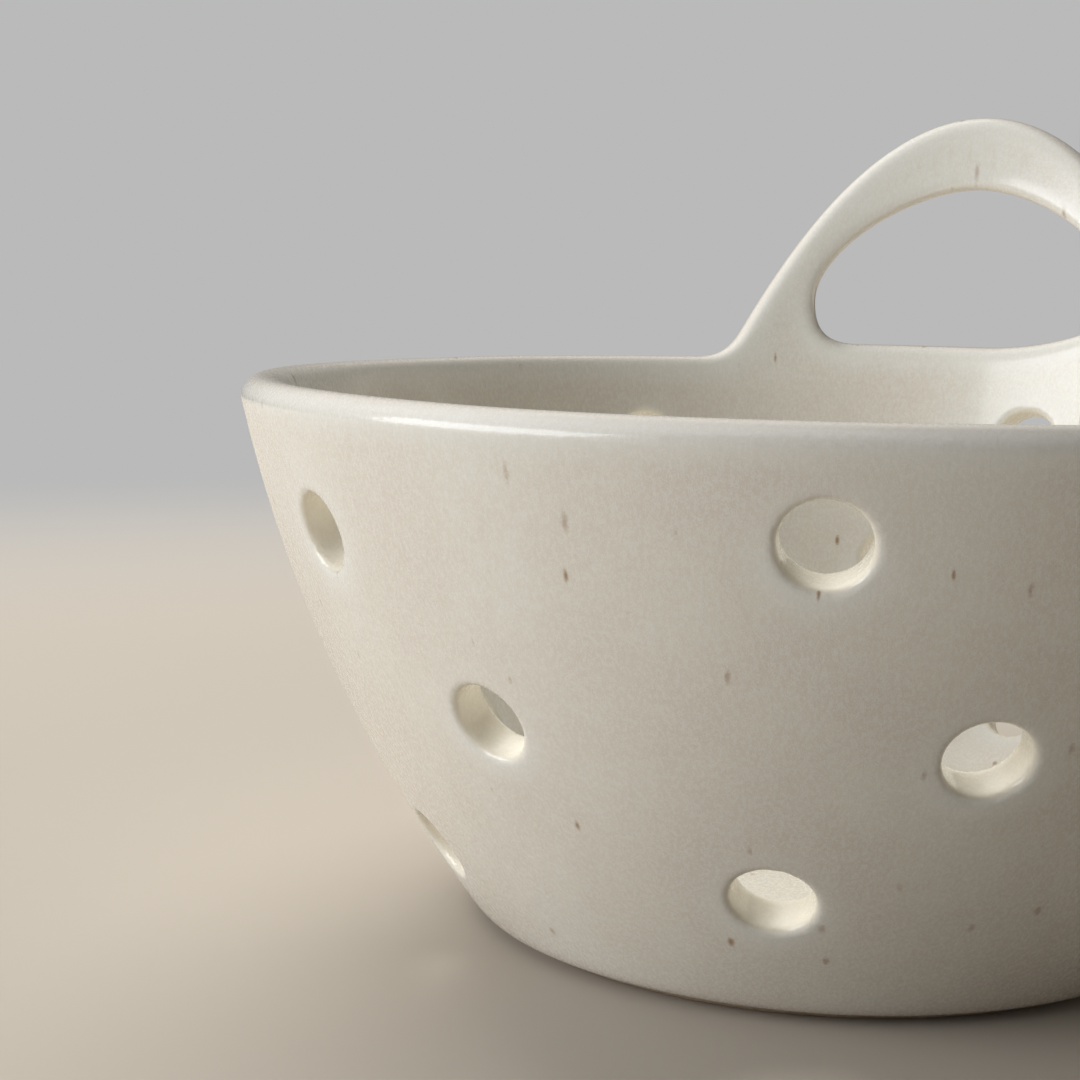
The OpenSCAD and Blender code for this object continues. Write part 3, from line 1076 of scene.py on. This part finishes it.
def ivory_glaze():
    """Satin ivory glaze: fine mottling, cool veils, pale runs under the lip and a few iron specks."""
    name = "ivory_glaze"
    if name in bpy.data.materials:
        return bpy.data.materials[name]
    look = bpy.context.scene.colander_glaze
    bowl = bpy.context.scene.colander_bowl
    material, tree, shader, place = new_material(name)
    tone = rgba(look.ivory)
    veil = rgba(look.veil)
    blush = rgba(look.blush)

    # Clouds, mottling and fine grain, which is drawn out downwards
    x, y, z = split(tree, place)
    cloud = noise_at(tree, place, CLOUDS_PER_M, detail=4.0, roughness=0.6)
    mottle_mask, mottle_height = grain_at(tree, place, MOTTLES_PER_M)
    grain_mask, grain_height = grain_at(tree, join(tree, x, y, z * GRAIN_SQUASH), GRAINS_PER_M)
    tone = mix_colours(tree, ease(tree, cloud, *CLOUD_BLUSH_SPAN) * CLOUD_BLUSH_SHARE, tone, blush)
    tone = mix_colours(tree, ease(tree, cloud, *CLOUD_VEIL_SPAN) * CLOUD_VEIL_SHARE, tone, veil)
    tone = mix_colours(tree, mottle_mask * MOTTLE_SHARE, tone, blush)
    tone = mix_colours(tree, grain_mask * GRAIN_SHARE, tone, veil)

    # Pale runs under the lip, and its thin warm crest
    run_place = join(tree, x * RUNS_PER_M, y * RUNS_PER_M, z * RUN_BREAKS_PER_M)
    runs = noise_at(tree, run_place, 1.0)
    edge_depth = noted(tree, "edge_depth")
    lip_band = ease(tree, edge_depth - runs * RUN_STRAY, *LIP_BAND_SPAN)
    lip_crest = ease(tree, edge_depth, *LIP_CREST_SPAN)
    tone = mix_colours(tree, lip_band * LIP_BAND_SHARE, tone, veil)
    tone = mix_colours(tree, lip_crest * LIP_CREST_SHARE, tone, blush)

    # Glaze that pooled round the drain holes and hangs below them, and painted light: a cream lighter than
    # the ivory that brightens the bores
    drain_gap = noted(tree, "drain_gap")
    hang = ease(tree, noted(tree, "drain_rise"), *HANG_SPAN)
    pool = ease(tree, drain_gap - mottle_height * POOL_STRAY, *POOL_SPAN)
    tone = mix_colours(tree, pool * (hang * HANG_SHARE + POOL_SHARE), tone, veil)
    tone = mix_colours(tree, ease(tree, drain_gap, *BORE_LIGHT_SPAN), tone, rgba(look.bore))

    # The clay shows warm along the foot, and iron specks come through
    foot_band = ease(tree, z - bowl.reveal, *FOOT_BAND_SPAN)
    tone = mix_colours(tree, foot_band * FOOT_BAND_SHARE, tone, blush)
    specks = specks_at(tree, place, look.speck_gap, look.speck_size, look.speck_stretch, look.speck_bare)
    tone = mix_colours(tree, specks, tone, rgba(look.iron))
    feed(tree, shader.inputs["Base Color"], tone)

    # Satin surface under a thin gloss
    least_roughness = look.roughness - GLAZE_ROUGHNESS_RANGE / 2
    feed(tree, shader.inputs["Roughness"], grain_mask * GLAZE_ROUGHNESS_RANGE + least_roughness)
    feed(tree, shader.inputs["IOR"], GLAZE_IOR)
    feed(tree, shader.inputs["Coat Weight"], look.coat)
    feed(tree, shader.inputs["Coat Roughness"], look.coat_roughness)
    add_relief(tree, shader, mottle_height + grain_height * GLAZE_FINE_RELIEF, GLAZE_RELIEF)
    return material


def bare_clay():
    """Bare fired stoneware: dry tan clay with dark grog, its main colour darkened as painted shade of the
    gap under the wall.
    """
    look = bpy.context.scene.colander_clay
    material, tree, shader, place = new_material("bare_clay")
    grain_mask, grain_height = grain_at(tree, place, CLAY_GRAINS_PER_M)
    grog = specks_at(tree, place, look.grog_gap, look.grog_size, 1.0, look.grog_bare)
    tone = mix_colours(tree, grain_mask * CLAY_PALE_SHARE, rgba(look.shaded_buff), rgba(look.pale))
    tone = mix_colours(tree, grog, tone, rgba(look.grog))
    feed(tree, shader.inputs["Base Color"], tone)
    feed(tree, shader.inputs["Roughness"], grain_mask * CLAY_ROUGHNESS_RANGE + CLAY_LEAST_ROUGHNESS)
    add_relief(tree, shader, grain_height, CLAY_RELIEF)
    return material


def plain_floor():
    """A pale, matt floor with a faint cloud in its tone, which fades into the backdrop for the camera."""
    look = bpy.context.scene.colander_stage
    material, tree, shader, place = new_material("pale_floor")
    cloud = noise_at(tree, place, FLOOR_CLOUDS_PER_M)
    dusk = rgba([c * (1 - FLOOR_CLOUD_SHARE) for c in look.floor])
    feed(tree, shader.inputs["Base Color"], mix_colours(tree, cloud, rgba(look.floor), dusk))
    feed(tree, shader.inputs["Roughness"], FLOOR_ROUGHNESS)
    away = add_node(tree, "ShaderNodeVectorMath", {0: place}, operation="LENGTH").outputs["Value"]
    rays = add_node(tree, "ShaderNodeLightPath")
    fade = ease(tree, away, FADE_START, FADE_END) * rays.outputs["Is Camera Ray"]
    glow = add_node(tree, "ShaderNodeEmission", {"Color": rgba(look.backdrop)})
    both = add_node(
        tree, "ShaderNodeMixShader", {0: fade, 1: shader.outputs["BSDF"], 2: glow.outputs["Emission"]})
    output = next(n for n in tree.nodes if n.type == "OUTPUT_MATERIAL")
    feed(tree, output.inputs["Surface"], both.outputs["Shader"])
    return material


# Stage

CAMERA_PLACE = Vector((0.0910, -0.3281, 0.1074))
CAMERA_AIM = Vector((-0.4013, 0.9063, -0.1326))
CAMERA_ROLL = math.radians(1.03)
CAMERA_LENS_MM = 66.67
SENSOR_MM = 36.0
CLIP_START = 0.01
WINDOW_PLACE = Vector((-1.15, -1.03, 0.52))
WINDOW_SIDES = (1.4, 0.9)
CEILING_PLACE = Vector((-0.6, -0.3, 1.4))
CEILING_SIDES = (1.6, 1.6)
FILL_PLACE = Vector((-0.55, 0.6, 1.05))
FILL_SIDES = (1.0, 1.0)
SIDE_PLACE = Vector((1.1, 0.75, 0.16))
SIDE_SIDES = (1.2, 0.28)
STAGE_AIM = Vector((0, 0, 0.06))
DAYLIGHT = (0.98, 1.0, 1.03)
ROOM_LIGHT = (1.0, 0.99, 0.97)
WARM_LIGHT = (1.0, 0.92, 0.82)
FLOOR_SIDE = 8.0
FADE_START = 0.25
FADE_END = 0.75


def add_lamp(name, place, sides, watts, tint):
    """A broad soft lamp that faces the object."""
    lamp = bpy.data.lights.new(name, "AREA")
    lamp.shape = "RECTANGLE"
    lamp.size, lamp.size_y = sides
    lamp.energy = watts
    lamp.color = tint
    holder = bpy.data.objects.new(name, lamp)
    holder.location = place
    holder.rotation_euler = (STAGE_AIM - place).to_track_quat("-Z", "Y").to_euler()
    bpy.context.scene.collection.objects.link(holder)
    return holder


def add_camera():
    """The camera at the photograph's place, with its slight roll."""
    lens = bpy.data.cameras.new("camera")
    lens.lens = CAMERA_LENS_MM
    lens.sensor_width = SENSOR_MM
    lens.clip_start = CLIP_START
    camera = bpy.data.objects.new("camera", lens)
    camera.matrix_world = Matrix.Translation(CAMERA_PLACE) @ (
        CAMERA_AIM.to_track_quat("-Z", "Y").to_matrix() @ Matrix.Rotation(CAMERA_ROLL, 3, "Z")).to_4x4()
    bpy.context.scene.collection.objects.link(camera)
    bpy.context.scene.camera = camera


def add_world():
    """A pale backdrop for the camera, and a dimmer even light on the object."""
    look = bpy.context.scene.colander_stage
    world = bpy.data.worlds.new("studio")
    world.use_nodes = True
    bpy.context.scene.world = world
    tree = world.node_tree
    background = next(n for n in tree.nodes if n.type == "BACKGROUND")
    rays = add_node(tree, "ShaderNodeLightPath")
    seen = work_out(tree, "MAXIMUM", rays.outputs["Is Camera Ray"], rays.outputs["Is Transmission Ray"])
    dim = rgba([c * look.ambient / max(look.backdrop) for c in look.backdrop])
    feed(tree, background.inputs["Color"], mix_colours(tree, seen, dim, rgba(look.backdrop)))


# Operators

class COLANDER_OT_throw_body(bpy.types.Operator):
    """Throws the whole clay body and sets out the blocks that part it"""

    bl_idname = "colander.throw_body"
    bl_label = "Throw the body"

    def execute(self, context):
        throw_body()
        cutting_blocks()
        return {"FINISHED"}


class COLANDER_OT_wall(bpy.types.Operator):
    """Makes the pierced, glazed wall"""

    bl_idname = "colander.wall"
    bl_label = "Wall"

    def execute(self, context):
        glazed_piece("glazed_wall", "wall", [("DIFFERENCE", "above"), ("DIFFERENCE", "core")])
        return {"FINISHED"}


class COLANDER_OT_floor(bpy.types.Operator):
    """Makes the pierced, glazed floor"""

    bl_idname = "colander.floor"
    bl_label = "Floor"

    def execute(self, context):
        glazed_piece("glazed_floor", "floor", [("DIFFERENCE", "above"), ("INTERSECT", "core")])
        return {"FINISHED"}


class COLANDER_OT_rim_lip(bpy.types.Operator):
    """Makes the rounded lip"""

    bl_idname = "colander.rim_lip"
    bl_label = "Lip"

    def execute(self, context):
        glazed_piece("glazed_lip", "rim_lip", [("INTERSECT", "above"), ("DIFFERENCE", "tall_wedge")])
        return {"FINISHED"}


class COLANDER_OT_handle(bpy.types.Operator):
    """Makes the loop handle"""

    bl_idname = "colander.handle"
    bl_label = "Handle"

    def execute(self, context):
        glazed_piece("glazed_handle", "handle", [("INTERSECT", "wedge")])
        return {"FINISHED"}


class COLANDER_OT_foot_ring(bpy.types.Operator):
    """Makes the bare foot ring"""

    bl_idname = "colander.foot_ring"
    bl_label = "Foot ring"

    def execute(self, context):
        mesh = foot_ring_mesh()
        mesh.materials.append(bare_clay())
        piece = bpy.data.objects.new("bare_foot_ring", mesh)
        bpy.context.scene.collection.objects.link(piece)
        put_on_bowl(piece, "foot_ring")
        return {"FINISHED"}


class COLANDER_OT_clear_bench(bpy.types.Operator):
    """Clears away the helper objects"""

    bl_idname = "colander.clear_bench"
    bl_label = "Clear the bench"

    def execute(self, context):
        for helper in [o for o in bpy.data.objects if o.name.startswith(BENCH_PREFIX)]:
            mesh = helper.data
            bpy.data.objects.remove(helper)
            bpy.data.meshes.remove(mesh)
        bpy.data.meshes.remove(bpy.data.meshes[THROWN_BODY])
        return {"FINISHED"}


class COLANDER_OT_stage(bpy.types.Operator):
    """Sets up the floor, the lamps, the backdrop and the camera"""

    bl_idname = "colander.stage"
    bl_label = "Stage"

    def execute(self, context):
        look = context.scene.colander_stage
        half = FLOOR_SIDE / 2
        mesh = bpy.data.meshes.new("floor")
        corners = [(-half, -half, 0), (half, -half, 0), (half, half, 0), (-half, half, 0)]
        mesh.from_pydata(corners, [], [(0, 1, 2, 3)])
        mesh.materials.append(plain_floor())
        floor = bpy.data.objects.new("stage_floor", mesh)
        context.scene.collection.objects.link(floor)
        add_lamp("window", WINDOW_PLACE, WINDOW_SIDES, look.window_power, DAYLIGHT)
        add_lamp("ceiling", CEILING_PLACE, CEILING_SIDES, look.ceiling_power, ROOM_LIGHT)
        fill = add_lamp("fill", FILL_PLACE, FILL_SIDES, look.fill_power, ROOM_LIGHT)
        fill.visible_glossy = False
        add_lamp("side", SIDE_PLACE, SIDE_SIDES, look.side_power, WARM_LIGHT)
        add_world()
        add_camera()
        context.scene.view_settings.view_transform = "Standard"
        return {"FINISHED"}


PIECE_OPERATORS = (
    COLANDER_OT_throw_body, COLANDER_OT_wall, COLANDER_OT_floor, COLANDER_OT_rim_lip, COLANDER_OT_handle,
    COLANDER_OT_foot_ring, COLANDER_OT_clear_bench, COLANDER_OT_stage,
)


class COLANDER_PT_maker(bpy.types.Panel):
    """Sizes, looks and steps of the colander bowl"""

    bl_idname = "COLANDER_PT_maker"
    bl_label = "Berry Colander Bowl"
    bl_space_type = "VIEW_3D"
    bl_region_type = "UI"
    bl_category = "Colander"

    def draw(self, context):
        for group_name, group_class in PROPERTY_GROUPS.items():
            box = self.layout.box()
            box.label(text=group_class.__doc__)
            group = getattr(context.scene, group_name)
            for name in group_class.__annotations__:
                box.prop(group, name)
        for operator in PIECE_OPERATORS:
            self.layout.operator(operator.bl_idname)


CLASSES = (*PROPERTY_GROUPS.values(), *PIECE_OPERATORS, COLANDER_PT_maker)


def register():
    """Registers the classes and hangs the property groups on the scene."""
    for item in CLASSES:
        bpy.utils.register_class(item)
    for name, group in PROPERTY_GROUPS.items():
        setattr(bpy.types.Scene, name, bpy.props.PointerProperty(type=group))


def unregister():
    """Takes the property groups off the scene and unregisters the classes."""
    for name in PROPERTY_GROUPS:
        delattr(bpy.types.Scene, name)
    for item in reversed(CLASSES):
        bpy.utils.unregister_class(item)


def main():
    """Builds the bowl and its stage."""
    register()
    bpy.ops.colander.throw_body()
    bpy.ops.colander.wall()
    bpy.ops.colander.floor()
    bpy.ops.colander.rim_lip()
    bpy.ops.colander.handle()
    bpy.ops.colander.foot_ring()
    bpy.ops.colander.clear_bench()
    bpy.ops.colander.stage()


if __name__ == "__main__":
    main()
